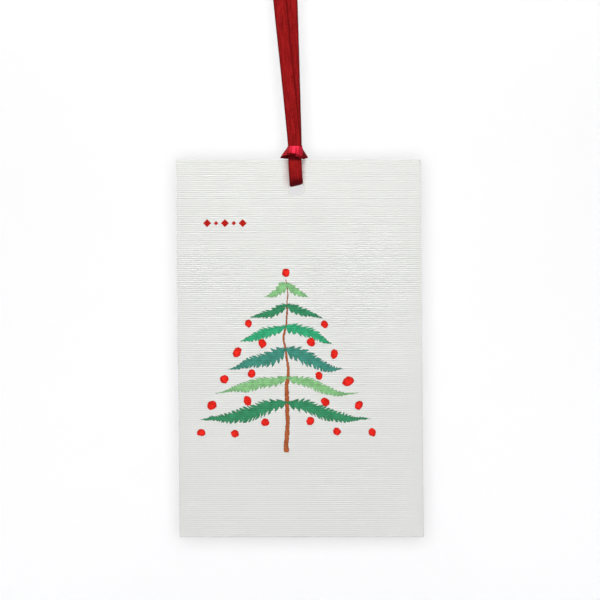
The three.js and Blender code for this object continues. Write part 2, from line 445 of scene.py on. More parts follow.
def put(tree, kind, inputs=None, **settings):
    """Adds a node with its settings and its inputs."""
    made = tree.nodes.new(kind)
    for name, value in settings.items():
        setattr(made, name, value)
    feed(tree, made, inputs or {})
    return made


def calc(tree, operation, first, second=0.0, third=0.0):
    """A calculation with numbers, as its result."""
    numbers = {0: first, 1: second, 2: third}
    return put(tree, "ShaderNodeMath", numbers, operation=operation).outputs[0]


def minus(tree, first, second):
    return calc(tree, "SUBTRACT", first, second)


def times(tree, first, second):
    return calc(tree, "MULTIPLY", first, second)


def vector_calc(tree, operation, first, second, third=(0, 0, 0)):
    """A calculation with vectors, as its result or, where that is a number, its value."""
    vectors = {0: first, 1: second, 2: third}
    made = put(tree, "ShaderNodeVectorMath", vectors, operation=operation)
    return made.outputs["Value" if operation == "DISTANCE" else "Vector"]


def axes_of(tree, vector):
    return put(tree, "ShaderNodeSeparateXYZ", {0: vector}).outputs


def speckle(tree, place, scale, detail):
    """Noise at a place, as the value Fac and as Color."""
    inputs = {"Vector": place, "Scale": scale, "Detail": detail}
    return put(tree, "ShaderNodeTexNoise", inputs).outputs


def blend_colours(tree, share, first, second, mode="MIX"):
    """The first colour with a share of the second laid over it."""
    inputs = {"Factor": share, 6: first, 7: second}
    return put(tree, "ShaderNodeMix", inputs, data_type="RGBA", blend_type=mode).outputs[2]


def ramp(tree, value, low, high, start=0.0, end=1.0):
    """A value taken smoothly from start to end as it goes from low to high."""
    inputs = {"Value": value, "From Min": low, "From Max": high, "To Min": start, "To Max": end}
    return put(tree, "ShaderNodeMapRange", inputs, interpolation_type="SMOOTHSTEP").outputs[0]


def start_group(name, inputs, outputs):
    """A shader node group, the values that it is given, and the node that gives its own out."""
    group = bpy.data.node_groups.new(name, "ShaderNodeTree")
    kinds = {float: "NodeSocketFloat", tuple: "NodeSocketColor"}
    for label, value in inputs.items():
        socket = group.interface.new_socket(label, in_out="INPUT", socket_type=kinds[type(value)])
        socket.default_value = value
    for label, kind in outputs.items():
        group.interface.new_socket(label, in_out="OUTPUT", socket_type=kinds[kind])
    given = group.nodes.new("NodeGroupInput").outputs
    return group, given, group.nodes.new("NodeGroupOutput")


def start_material(name):
    """A new material, its nodes and its Principled shader."""
    material = bpy.data.materials.new(name)
    material.use_nodes = True
    tree = material.node_tree
    return material, tree, tree.nodes["Principled BSDF"]


def add_bump(tree, shader, height, strength, distance):
    """Lets a height that changes over the surface catch the light."""
    inputs = {"Height": height, "Strength": strength, "Distance": distance}
    feed(tree, shader, {"Normal": put(tree, "ShaderNodeBump", inputs).outputs[0]})


def colour(value, gain=1.0):
    """A paint's colour, made lighter or darker, with the alpha that a socket wants."""
    return (*(channel * gain for channel in value), 1)


def bough_group():
    """One painted bough: a drooping stroke, fringed with needles, that starts at the trunk."""
    group, given, out = start_group(
        "painted bough",
        {"X": 0.0, "Z": 0.0, "Height": 0.0, "Length": 0.01, "Droop": 0.4, "Width": 0.001},
        {"Mask": float, "Depth": float},
    )
    up = minus(group, given["Z"], given["Height"])
    cosine = calc(group, "COSINE", given["Droop"])
    sine = calc(group, "SINE", given["Droop"])
    along = minus(group, times(group, given["X"], cosine), times(group, up, sine))
    aside = calc(group, "ADD", times(group, given["X"], sine), times(group, up, cosine))
    share = calc(group, "DIVIDE", along, given["Length"])
    inside = calc(group, "MINIMUM", calc(group, "MAXIMUM", share, 0.0), 1.0)
    curl = times(group, calc(group, "POWER", inside, 2.0), given["Length"])
    bent = minus(group, aside, times(group, curl, 0.16))
    full = calc(group, "SINE", times(group, calc(group, "POWER", inside, 0.62), math.pi))
    # The needles are swept back from the middle of the stroke, at an uneven pitch.
    swept = calc(group, "MULTIPLY_ADD", calc(group, "ABSOLUTE", bent), -1.1, along)
    inputs = {"W": times(group, swept, 900.0), "Scale": 1.0}
    uneven = put(group, "ShaderNodeTexNoise", inputs, noise_dimensions="1D").outputs["Fac"]
    phase = calc(group, "MULTIPLY_ADD", uneven, 5.0, times(group, swept, 3100.0))
    needles = calc(group, "ABSOLUTE", calc(group, "SINE", phase))
    fringe = calc(group, "MULTIPLY_ADD", needles, 0.55, 0.6)
    half = times(group, times(group, full, fringe), given["Width"])
    depth = minus(group, half, calc(group, "ABSOLUTE", bent))
    past_trunk = calc(group, "GREATER_THAN", share, 0.0)
    on_stroke = times(group, past_trunk, calc(group, "LESS_THAN", share, 1.0))
    mask = times(group, ramp(group, depth, -0.04 * MM, 0.06 * MM), on_stroke)
    feed(group, out, {"Mask": mask, "Depth": ramp(group, depth, 0.0, 0.45 * MM)})
    return group


def disc_group():
    """A painted disc."""
    group, given, out = start_group(
        "painted disc",
        {"X": 0.0, "Z": 0.0, "Centre X": 0.0, "Centre Z": 0.0, "Radius": 0.001},
        {"Mask": float, "Depth": float},
    )
    aside = minus(group, given["X"], given["Centre X"])
    up = minus(group, given["Z"], given["Centre Z"])
    square = calc(group, "ADD", times(group, aside, aside), times(group, up, up))
    depth = minus(group, given["Radius"], calc(group, "SQRT", square))
    mask = ramp(group, depth, -0.04 * MM, 0.05 * MM)
    feed(group, out, {"Mask": mask, "Depth": ramp(group, depth, 0.0, 0.6 * MM)})
    return group


# The print: the tip of the painted tree, the middle of the small rule, how widely the strokes
# sway, and the level through the card in front of which the stock is printed.
TREE_TIP = Vector((0.64 * MM, 0, -66.7 * MM))
RULE_CENTRE = Vector((-13.25 * MM, 0, -56.2 * MM))
SWAY = Vector((3.2 * MM, 0, 3.6 * MM))
PRINTED_FROM = -0.12 * MM
# The tree in millimetres from its tip: each pair of boughs has its height, length, droop in
# degrees, half width and paint, each pair of baubles its place and radius, and the trunk its ends.
BOUGHS = [
    (-3.4, 5.6, 36, 0.95, "pale"),
    (-7.6, 8.6, 33, 1.15, "dark"),
    (-12.6, 11.4, 30, 1.25, "bright"),
    (-18, 14.2, 27, 1.35, "teal"),
    (-23.6, 16.8, 24, 1.4, "pale"),
    (-29.6, 19.6, 21, 1.5, "dark"),
]
BAUBLES = [
    (0, -1.2, 1), (8.1, -12.6, 0.95), (11.2, -18.8, 1), (5.2, -16.9, 0.9),
    (14.2, -24.8, 1), (7.4, -23.4, 0.95), (16.6, -30.8, 1), (8.6, -29.6, 1),
    (19.2, -36.9, 1), (11.4, -36.2, 0.95), (4.6, -34.2, 0.9),
]
TRUNK = (-2.6, -41.2)


def printed_face(tree, place, stock, inks):
    """Lays the painted tree and the small rule over the colour of the stock.

    The strokes wander a little, and sway more widely, as a brush does.
    """
    wander = speckle(tree, place, 1400.0, 2.0)["Color"]
    nudge = vector_calc(tree, "SUBTRACT", wander, (0.5, 0.5, 0.5))
    sway = speckle(tree, place, 105.0, 1.0)["Color"]
    swayed = vector_calc(tree, "MULTIPLY_ADD", sway, tuple(SWAY), place)
    painted = vector_calc(tree, "MULTIPLY_ADD", nudge, (0.5 * MM, 0, 0.5 * MM), swayed)
    axes = axes_of(tree, vector_calc(tree, "SUBTRACT", painted, tuple(TREE_TIP + SWAY / 2)))
    mirrored = calc(tree, "ABSOLUTE", axes["X"])
    wash = ramp(tree, speckle(tree, place, 900.0, 3.0)["Fac"], 0.3, 0.7)

    def lay(under, mask, depth, ink, cover=1.0):
        """Ink in a wash: darker where it pools at the rim of the stroke, lighter in blots."""
        light = colour([min(1, channel * 1.35 + 0.008) for channel in ink])
        paint = blend_colours(tree, wash, colour(ink), light)
        pooled = blend_colours(tree, 1.0, paint, colour((0.72, 0.72, 0.72)), "MULTIPLY")
        paint = blend_colours(tree, depth, pooled, paint)
        return blend_colours(tree, times(tree, mask, cover), under, paint)

    head, foot = (height * MM for height in TRUNK)
    half_trunk = ramp(tree, axes["Z"], foot, head, 0.52 * MM, 0.12 * MM)
    depth = minus(tree, half_trunk, mirrored)
    below_head = calc(tree, "LESS_THAN", axes["Z"], head)
    on_trunk = times(tree, below_head, calc(tree, "GREATER_THAN", axes["Z"], foot))
    mask = times(tree, ramp(tree, depth, -0.05 * MM, 0.05 * MM), on_trunk)
    face = lay(stock, mask, ramp(tree, depth, 0.0, 0.3 * MM), inks.brown)

    spot = {"X": mirrored, "Z": axes["Z"]}
    bough = bough_group()
    for height, length, droop, width, ink in BOUGHS:
        size = {"Height": height * MM, "Length": length * MM, "Width": width * MM}
        inputs = {**spot, **size, "Droop": math.radians(droop)}
        stroke = put(tree, "ShaderNodeGroup", inputs, node_tree=bough).outputs
        face = lay(face, stroke["Mask"], stroke["Depth"], getattr(inks, ink), 0.97)

    disc = disc_group()
    for x, z, radius in BAUBLES:
        size = {"Centre X": x * MM, "Centre Z": z * MM, "Radius": radius * MM}
        bauble = put(tree, "ShaderNodeGroup", {**spot, **size}, node_tree=disc).outputs
        face = lay(face, bauble["Mask"], bauble["Depth"], inks.red)

    spots = axes_of(tree, vector_calc(tree, "SUBTRACT", place, tuple(RULE_CENTRE)))
    return lay_rule(tree, face, spots, inks.red)


def lay_rule(tree, under, spots, ink):
    """A short printed rule of diamonds, big and small by turns."""
    pitch = 2.0 * MM
    step = calc(tree, "DIVIDE", spots["X"], pitch)
    place = calc(tree, "ROUND", step)
    aside = times(tree, minus(tree, step, place), pitch)
    reach = calc(tree, "ADD", calc(tree, "ABSOLUTE", aside), calc(tree, "ABSOLUTE", spots["Z"]))
    parity = calc(tree, "ABSOLUTE", calc(tree, "MODULO", place, 2.0))
    size = calc(tree, "MULTIPLY_ADD", parity, -0.4 * MM, 0.92 * MM)
    within = calc(tree, "LESS_THAN", calc(tree, "ABSOLUTE", place), 2.5)
    mask = ramp(tree, minus(tree, size, reach), -0.04 * MM, 0.04 * MM)
    return blend_colours(tree, times(tree, mask, within), under, colour(ink, 0.66))


# The stock where its edges are worn and painted in shade, and the painted shade beside the ribbon, tinted
# red as if by light off the satin.
WORN_AND_SHADED = (0.56, 0.54, 0.5)
PAINTED_RIBBON_SHADE = (0.55, 0.32, 0.33)


def edge_wear_and_shade(tree, place, sizes):
    """How worn and shaded the stock is: a thin line of wear and painted shade along its cut edges and round
    the hole, and wear most at the corners.
    """
    axes = axes_of(tree, place)
    below = minus(tree, CARD_HIGH.z, axes["Z"])
    above = minus(tree, axes["Z"], CARD_LOW.z)
    side = calc(tree, "MULTIPLY_ADD", below, -math.tan(sizes.skew), axes["X"])
    left = minus(tree, side, CARD_LOW.x)
    right = minus(tree, CARD_LOW.x + sizes.width, side)
    near_side = calc(tree, "MINIMUM", left, right)
    near_end = calc(tree, "MINIMUM", below, above)
    on_sheet = vector_calc(tree, "MULTIPLY", place, (1, 0, 1))
    from_hole = vector_calc(tree, "DISTANCE", on_sheet, tuple(HOLE))
    near_hole = minus(tree, from_hole, HOLE_RADIUS)
    edge = calc(tree, "MINIMUM", calc(tree, "MINIMUM", near_side, near_end), near_hole)
    corner = calc(tree, "ADD", near_side, near_end)
    amount = ramp(tree, speckle(tree, place, 420.0, 2.0)["Fac"], 0.3, 0.7, 0.1, 0.75)
    line = times(tree, ramp(tree, edge, 0.34 * MM, 0.04 * MM), amount)
    return calc(tree, "MAXIMUM", line, ramp(tree, corner, 1.3 * MM, 0.3 * MM, 0.0, 0.6))


def painted_ribbon_shade(tree, place):
    """How far the stock is painted in shade beside the ribbon, from its top to the hole, tinted red as if by
    light off the satin.
    """
    axes = axes_of(tree, place)
    left = ramp(tree, axes["X"], HOLE.x - 4.5 * MM, HOLE.x - 1.5 * MM)
    right = ramp(tree, axes["X"], HOLE.x + 2.9 * MM, HOLE.x + 1.1 * MM, 0.0, 0.8)
    beside = calc(tree, "POWER", times(tree, left, right), 2.0)
    rising = ramp(tree, axes["Z"], HOLE.z - 1 * MM, CARD_TOP, 0.0, 0.6)
    over_hole = ramp(tree, axes["Z"], HOLE.z - 0.7 * MM, HOLE.z + 2 * MM, 0.0, 0.55)
    up = calc(tree, "MINIMUM", calc(tree, "ADD", rising, over_hole), 1.0)
    return times(tree, beside, up)


def card_stock(sizes, inks):
    """Matt ribbed stock with a fine fibre, grey at its edges with wear and painted shade, painted in a
    reddish shade beside the ribbon, and the print on its face.
    """
    material, tree, shader = start_material("ribbed card stock")
    place = put(tree, "ShaderNodeTexCoord").outputs["Object"]
    fibre = speckle(tree, place, 3800.0, 4.0)["Fac"]
    flecked, dull = colour(sizes.colour, 0.93), colour(sizes.colour, 0.945)
    stock = blend_colours(tree, ramp(tree, fibre, 0.36, 0.64), flecked, colour(sizes.colour))
    # Wear and painted shade along the cut edges and the hole, and wear at the corners.
    stock = blend_colours(tree, edge_wear_and_shade(tree, place, sizes), stock, colour(WORN_AND_SHADED))
    lines = vector_calc(tree, "MULTIPLY", place, (60, 0, 560))
    streaks = ramp(tree, speckle(tree, lines, 1.0, 2.0)["Fac"], 0.3, 0.7)
    stock = blend_colours(tree, streaks, dull, stock)
    clouds = ramp(tree, speckle(tree, place, 55.0, 2.0)["Fac"], 0.35, 0.65, 0.0, 0.5)
    stock = blend_colours(tree, clouds, stock, dull)
    # Painted shade beside the ribbon, tinted red as if by light off the satin.
    stock = blend_colours(tree, painted_ribbon_shade(tree, place), stock, colour(PAINTED_RIBBON_SHADE), "MULTIPLY")
    face = printed_face(tree, place, stock, inks)
    on_face = calc(tree, "LESS_THAN", axes_of(tree, place)["Y"], PRINTED_FROM)
    paint = blend_colours(tree, on_face, stock, face)
    feed(tree, shader, {"Base Color": paint, "Roughness": 0.82, "Specular IOR Level": 0.28})
    add_bump(tree, shader, fibre, 0.14, 0.04 * MM)
    return material


def satin_group():
    """Satin weave: long bright floats along the ribbon, tight dark selvedges and a slow sheen, with a
    painted highlight and painted shade.
    """
    group, given, out = start_group(
        "satin weave",
        {"Across": 0.0, "Along": 0.0, "Tension": 0.0, "Seed": 0.0, "Colour": (0.3, 0.01, 0.01, 1)},
        {"Colour": tuple, "Roughness": float, "Metallic": float, "Height": float},
    )

    def threads(across, along, detail):
        """Noise drawn out over the ribbon, with so many grains to its half width and a metre."""
        x, y = times(group, given["Across"], across), times(group, given["Along"], along)
        place = put(group, "ShaderNodeCombineXYZ", {0: x, 1: y, 2: given["Seed"]}).outputs[0]
        return speckle(group, place, 1.0, detail)["Fac"]

    def dyed(red, green, blue):
        """The dye's own colour, deepened or raised; also the painted highlight and the painted shade."""
        tint = (red, green, blue, 1)
        return blend_colours(group, 1.0, given["Colour"], tint, "MULTIPLY")

    bright = dyed(1.35, 1.45, 1.45)
    streak = ramp(group, threads(4.5, 260.0, 3.0), 0.32, 0.68)
    pick = ramp(group, threads(2.2, 2800.0, 1.0), 0.3, 0.7)
    sheen = ramp(group, threads(2.2, 90.0, 1.0), 0.35, 0.7, 0.0, 0.35)
    edge = ramp(group, calc(group, "ABSOLUTE", given["Across"]), 0.74, 0.92)
    shine = ramp(group, given["Tension"], 0.0, 1.0)
    fold = ramp(group, given["Tension"], 0.0, -1.0)
    floats = calc(group, "MULTIPLY_ADD", streak, 0.75, -0.05)
    texture = calc(group, "MULTIPLY_ADD", pick, 0.35, floats)
    base = blend_colours(group, texture, dyed(0.55, 0.4, 0.4), bright)
    base = blend_colours(group, sheen, base, bright)
    # Painted highlight: the colour is raised and made pinker where the satin is drawn tight.
    base = blend_colours(group, times(group, shine, 0.8), base, dyed(1.95, 1.8, 5.5))
    # Painted shade: the colour is deepened in folds, under the knot and inside the knots.
    base = blend_colours(group, times(group, fold, 0.9), base, dyed(0.22, 0.16, 0.2))
    base = blend_colours(group, times(group, edge, 0.9), base, dyed(0.42, 0.2, 0.2))
    thread = calc(group, "SINE", times(group, given["Along"], 26000.0))
    picot = times(group, times(group, thread, edge), 0.6)
    matt = calc(group, "MULTIPLY_ADD", edge, 0.2, 0.37)
    lustre = calc(group, "MULTIPLY_ADD", shine, 0.4, 0.24)
    outputs = {
        "Colour": base,
        "Roughness": calc(group, "MULTIPLY_ADD", shine, 0.01, matt),
        "Metallic": calc(group, "MULTIPLY_ADD", fold, -0.2, lustre),
        "Height": calc(group, "MULTIPLY_ADD", streak, 0.8, picot),
    }
    feed(group, out, outputs)
    return group


def satin(name, sizes, seed):
    """The ribbon's satin, led by the layers that its sweep left on the mesh."""
    material, tree, shader = start_material(name)
    group = bpy.data.node_groups.get("satin weave") or satin_group()
    inputs = {
        label: put(tree, "ShaderNodeAttribute", attribute_name=label.lower()).outputs["Fac"]
        for label in ("Across", "Along", "Tension")
    }
    inputs |= {"Seed": seed, "Colour": colour(sizes.colour)}
    weave = put(tree, "ShaderNodeGroup", inputs, node_tree=group).outputs
    woven = {"Base Color": weave["Colour"], "Roughness": weave["Roughness"]}
    gloss = {"Specular IOR Level": 0.35, "Specular Tint": (1, 0.1, 0.2, 1)}
    feed(tree, shader, {**woven, "Metallic": weave["Metallic"], **gloss})
    add_bump(tree, shader, weave["Height"], 0.35, 0.03 * MM)
    return material


def dress(piece, node, material):
    """Gives a piece its one material and its slot, in the place of a node of the model."""
    piece.data.materials.clear()
    piece.data.materials.append(material)
    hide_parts(node)


# Stage

# How far the wall and the floor reach, how far from AIM they begin and end to go over to white,
# how much that adds, and what the wall adds at its foot.
STAGE_REACH = 4.0
FAR_START, FAR_END, FAR_GLOW = 0.16, 0.6, 0.9
WALL_FOOT_GLOW = 0.14
# Each lamp's place from AIM, size and tint. FRONT_NEARER is a share of the camera's distance.
KEY_PLACE, KEY_SIZE, KEY_TINT = Vector((-0.008, -0.15, 0.3)), 0.15, (1, 0.99, 0.94)
FRONT_PLACE, FRONT_SIZE, FRONT_TINT = Vector((-0.0015, 0, 0.004)), 0.09, (0.985, 1, 1)
FRONT_NEARER = 0.97


class GIFTTAG_OT_stage(bpy.types.Operator):
    """Set up the camera, the soft light and the white stage"""

    bl_idname = "gift_tag.stage"
    bl_label = "Stage"

    def execute(self, context):
        sizes = context.scene.gift_tag_stage
        add_camera(context, sizes)
        add_backdrop(sizes)
        add_lamps(sizes)
        add_world(context, sizes)
        context.scene.view_settings.view_transform = "Standard"
        return {"FINISHED"}


def add_camera(context, sizes):
    """The camera, level with the card's middle and straight in front of it."""
    lens = bpy.data.cameras.new("camera")
    lens.sensor_width = 36
    lens.lens = lens.sensor_width * sizes.distance / sizes.frame_width
    lens.clip_start = 0.01
    lens.clip_end = 20
    camera = bpy.data.objects.new("camera", lens)
    camera.location = AIM + Vector((0, CARD_LOW.y - sizes.distance, 0))
    camera.rotation_euler = (math.pi / 2, 0, 0)
    context.collection.objects.link(camera)
    context.scene.camera = camera


def seen_directly(tree):
    """1 where the camera, or a reflection, looks at the surface, and 0 where it only lights."""
    paths = put(tree, "ShaderNodeLightPath").outputs
    seen = calc(tree, "MAXIMUM", paths["Is Camera Ray"], paths["Is Glossy Ray"])
    return calc(tree, "MAXIMUM", seen, paths["Is Transmission Ray"])


def add_surface(name, corners, albedo, glow, foot):
    """A white surface with its face up or towards the camera. From behind it is clear.

    glow is what it adds in the camera's eyes, at its foot and from the hang point up.
    """
    bm = bmesh.new()
    face = bm.faces.new([bm.verts.new(corner) for corner in corners])
    face.normal_update()
    surface = mesh_object(name, bm)
    material, tree, shader = start_material(f"white {name}")
    paint = (albedo, albedo * 0.996, albedo * 1.02, 1)
    feed(tree, shader, {"Base Color": paint, "Roughness": 0.9, "Specular IOR Level": 0})
    place = put(tree, "ShaderNodeTexCoord").outputs["Object"]
    near = ramp(tree, axes_of(tree, place)["Z"], foot, 0.0, *glow)
    away = vector_calc(tree, "DISTANCE", place, tuple(AIM))
    added = calc(tree, "ADD", near, ramp(tree, away, FAR_START, FAR_END, 0.0, FAR_GLOW))
    strength = times(tree, seen_directly(tree), added)
    feed(tree, shader, {"Emission Color": (1, 1, 1, 1), "Emission Strength": strength})
    clear = put(tree, "ShaderNodeBsdfTransparent").outputs[0]
    behind = put(tree, "ShaderNodeNewGeometry").outputs["Backfacing"]
    shown = put(tree, "ShaderNodeMixShader", {0: behind, 1: shader.outputs[0], 2: clear})
    feed(tree, tree.nodes["Material Output"], {"Surface": shown.outputs[0]})
    surface.data.materials.append(material)


def add_backdrop(sizes):
    """A white wall behind the tag and a pale floor under it."""
    far, back, low = STAGE_REACH, sizes.wall, sizes.floor
    corners = [(-far, -far, low), (far, -far, low), (far, back, low), (-far, back, low)]
    glow = (sizes.floor_glow, sizes.floor_glow)
    add_surface("floor", corners, sizes.floor_albedo, glow, low)
    corners = [(-far, back, low), (far, back, low), (far, back, far), (-far, back, far)]
    glow = (sizes.wall_glow + WALL_FOOT_GLOW, sizes.wall_glow)
    add_surface("wall", corners, sizes.wall_albedo, glow, low)


def add_lamp(name, shape, size, power, location, tint):
    """A lamp that shines at the middle of the card, and that the camera doesn't see."""
    light = bpy.data.lights.new(name, "AREA")
    light.shape = shape
    light.size = size
    light.energy = power
    light.color = tint
    lamp = bpy.data.objects.new(name, light)
    lamp.location = location
    lamp.rotation_euler = (AIM - lamp.location).to_track_quat("-Z", "Y").to_euler()
    lamp.visible_camera = False
    bpy.context.collection.objects.link(lamp)
    return lamp


def add_lamps(sizes):
    """A soft lamp over the card, and a small one beside the camera that casts the halo."""
    add_lamp("soft key", "SQUARE", KEY_SIZE, sizes.key, AIM + KEY_PLACE, KEY_TINT)
    beside = AIM + FRONT_PLACE - Vector((0, sizes.distance * FRONT_NEARER, 0))
    front = add_lamp("front lamp", "DISK", FRONT_SIZE, sizes.front, beside, FRONT_TINT)
    front.visible_glossy = False


def add_world(context, sizes):
    """White where the camera sees it, and otherwise soft light, stronger from above."""
    world = bpy.data.worlds.new("soft room")
    world.use_nodes = True
    tree = world.node_tree
    direction = put(tree, "ShaderNodeTexCoord").outputs["Generated"]
    from_below, from_above = sizes.ambient * 0.45, sizes.ambient * 1.55
    light = ramp(tree, axes_of(tree, direction)["Z"], -1.0, 1.0, from_below, from_above)
    seen = seen_directly(tree)
    unseen = minus(tree, 1.0, seen)
    strength = calc(tree, "ADD", times(tree, unseen, light), seen)
    feed(tree, tree.nodes["Background"], {"Color": (1, 1, 1, 1), "Strength": strength})
    context.scene.world = world


# Pieces


class GIFTTAG_OT_strands(bpy.types.Operator):
    """Build the two strands of ribbon from the hang point down to the knot at the card"""

    bl_idname = "gift_tag.strands"
    bl_label = "Strands"

    def execute(self, context):
        sizes = context.scene.gift_tag_ribbon
        for name, node, route, seed in (
            ("ribbon_front_length", "ribbon_front_strand", FRONT_STRAND, 1.0),
            ("ribbon_rear_length", "ribbon_rear_strand", REAR_STRAND, 5.0),
        ):
            self.build(name, node, route, seed, sizes)
        return {"FINISHED"}

    def build(self, name, node, route, seed, sizes):
        points = in_metres(route)
        upper, lower = points[0], points[-1]
        into_end_knot = Vector((upper.x * 0.5, upper.y, 0.0013))
        into_knot = Vector((lower.x, lower.y * 0.8, lower.z - 0.0014))
        line = smooth_route([into_end_knot, *points, into_knot], 5)
        line.reverse()
        out = -1 if route is FRONT_STRAND else 1

        def shape(share, side, _):
            gathered = mix(1, 0.58, smoothstep(0.955, 1.0, share))
            tight = mix(0.6, 1, smoothstep(0.012, 0.036, share))
            ripple = noise.noise(Vector((side * 1.3, share * 16, seed)))
            bow = -out * sizes.cup * (1 - side * side)
            return gathered * tight, bow + ripple * 0.05 * MM, 0, 0

        piece = ribbon_piece(name, line, sizes, shape)
        dress(piece, node, satin(f"satin of {name}", sizes, seed))
        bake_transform(piece, "knot", "ribbon", start=(KNOT_X, 0, -0.037), end=(KNOT_X, 0, -0.007))


class GIFTTAG_OT_knots(bpy.types.Operator):
    """Build the knot that ties the ribbon's ends, and the overhand knot at the card's top edge"""

    bl_idname = "gift_tag.knots"
    bl_label = "Knots"

    def execute(self, context):
        sizes, ribbon = context.scene.gift_tag_knot, context.scene.gift_tag_ribbon
        at_card = Vector((KNOT_X, 0, CARD_TOP + KNOT_CLEARANCE))
        for name, node, body, spot, lift, core_low, seed, grain in (
            ("upper", "ribbon_end_knot", "ribbon", Vector((0, 0, 0)), 0.0003, 0.0006, 2.0, 9.0),
            ("lower", "ribbon_knot", "knot", at_card, sizes.lift, 0.0011, 0.6, 3.0),
        ):
            piece = knot_piece(f"ribbon_{name}_knot", spot, sizes, lift, seed, core_low)
            dress(piece, node, satin(f"satin of {name} knot", ribbon, grain))
            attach(piece, body)
        return {"FINISHED"}


class GIFTTAG_OT_tails(bpy.types.Operator):
    """Build the two cut ends of the ribbon over the end knot"""

    bl_idname = "gift_tag.tails"
    bl_label = "Tails"

    def execute(self, context):
        sizes = context.scene.gift_tag_ribbon
        for name, node, side in (
            ("ribbon_left_end", "ribbon_left_tail", -1),
            ("ribbon_right_end", "ribbon_right_tail", 1),
        ):
            self.build(name, node, side, sizes)
        return {"FINISHED"}

    def build(self, name, node, side, sizes):
        in_knot = Vector((side * 0.55, side * 0.2, 1.6)) * MM
        out = Vector((side * 0.84, side * 0.275, 3.2)) * MM
        lean = Vector((math.sin(TAIL_LEAN) * side, 0, math.cos(TAIL_LEAN)))
        points = [in_knot, out]
        for share in (0.2, 0.4, 0.6, 0.8, 1.0):
            curl = side * 0.7 * MM * math.sin(share * math.pi * 0.9)
            points.append(out + lean * sizes.tail_length * share + Vector((0, curl, 0)))
        line = smooth_route(points, 6)

        def shape(share, across, _):
            gathered = mix(0.62, 1, smoothstep(0.0, 0.3, share))
            curl = sizes.cup * 1.6 * (1 - across * across)
            cut = -side * across * sizes.width / 2 * math.tan(TAIL_CUT)
            return gathered, curl, cut * smoothstep(0.72, 1.0, share), 0

        piece = ribbon_piece(name, line, sizes, shape)
        dress(piece, node, satin(f"satin of {name}", sizes, 12.0 + side))
        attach(piece, "ribbon")


# The ribbon's way from inside the knot down the printed face, through the hole and up the back, in
# millimetres.
LOOP_ROUTE = [
    (2.45, -0.3, -40.3), (2.47, -0.42, -41.1), (2.5, -0.6, -42),
    (2.55, -0.8, -43.1), (2.61, -0.95, -44.2), (2.67, -1.01, -45.1),
    (2.73, -0.96, -45.9), (2.78, -0.81, -46.6), (2.82, -0.58, -47.15),
    (2.84, -0.31, -47.52), (2.845, 0, -47.64), (2.84, 0.26, -47.54),
    (2.83, 0.43, -47.22), (2.8, 0.5, -46.7), (2.75, 0.52, -46),
    (2.66, 0.53, -44.8), (2.57, 0.51, -43.4), (2.5, 0.46, -42),
    (2.47, 0.4, -41.1), (2.45, 0.3, -40.3),
]


class GIFTTAG_OT_hole_loop(bpy.types.Operator):
    """Build the ribbon that goes from the knot through the hole and back"""

    bl_idname = "gift_tag.hole_loop"
    bl_label = "Hole loop"

    def execute(self, context):
        sizes = context.scene.gift_tag_ribbon

        def shape(_, side, point):
            in_hole = 1 - smoothstep(0.15 * MM, 0.4 * MM, abs(point.y))
            in_hole *= 1 - smoothstep(0.1 * MM, 0.6 * MM, point.z + 47.6 * MM)
            low = 1 - smoothstep(-47.6 * MM, -45.8 * MM, point.z)
            front = 1 if point.y < 0 else -1
            bow = sizes.cup * (1 - side * side) * front
            # Painted shade where the loop comes out under the knot and where it turns through the hole.
            painted_shade = smoothstep(-42.4 * MM, -41.8 * MM, point.z)
            painted_shade += 1 - smoothstep(-47.4 * MM, -45 * MM, point.z)
            return mix(1, 0.87, in_hole), bow, side * 0.3 * MM * low, -painted_shade

        line = smooth_route(in_metres(LOOP_ROUTE), 5)
        piece = ribbon_piece("ribbon_through_hole", line, sizes, shape)
        dress(piece, "ribbon_hole_loop", satin("satin through hole", sizes, 7.0))
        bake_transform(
            piece,
            "knot",
            "loop",
            start=(KNOT_X, 0, CARD_TOP + 0.0009),
            end=(KNOT_X, 0, CARD_TOP - 0.0004),
        )
        return {"FINISHED"}


class GIFTTAG_OT_card(bpy.types.Operator):
    """Build the ribbed card with its print and its punched hole"""

    bl_idname = "gift_tag.card"
    bl_label = "Card"

    def execute(self, context):
        sizes = context.scene.gift_tag_card
        piece = ribbed_card(sizes)
        dress(piece, "tag_card", card_stock(sizes, context.scene.gift_tag_print))
        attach(piece, "card")
        return {"FINISHED"}


def soften(bm, geometry, radius, segments, affect):
    """Rounds edges, or the corners at vertices."""
    shape = {"segments": segments, "profile": 0.5, "affect": affect, "material": -1}
    bmesh.ops.bevel(bm, geom=geometry, offset=radius, **shape)


def lowest(item):
    """The height of a vertex, or of the lowest vertex of an edge or a face."""
    if isinstance(item, bmesh.types.BMVert):
        return item.co.z
    return min(vert.co.z for vert in item.verts)


# Each rib has RIB_CUTS rows of faces. COLUMNS upright cuts let it stand out more here than there,
# and RIB_BEAT is the distance after which stronger and weaker ribs come again.
RIB_CUTS = 4
COLUMNS = 16
RIB_BEAT = 1.9 * MM


def rib_strength(x, z):
    """How strongly the ribs are pressed at a place on the card.

    They are flatter towards the foot, at the sides of the lower half and round the hole.
    """
    strength = mix(0.6, 1, smoothstep(-112 * MM, -85 * MM, z))
    at_side = smoothstep(14 * MM, 24 * MM, abs(x - 4 * MM)) * smoothstep(70 * MM, 80 * MM, -z)
    aside, over = (x - 8 * MM) / (14 * MM), (z + 44 * MM) / (11 * MM)
    near_hole = math.exp(-(aside**2) - over**2)
    return strength * (1 - 0.42 * at_side) - 0.28 * near_hole


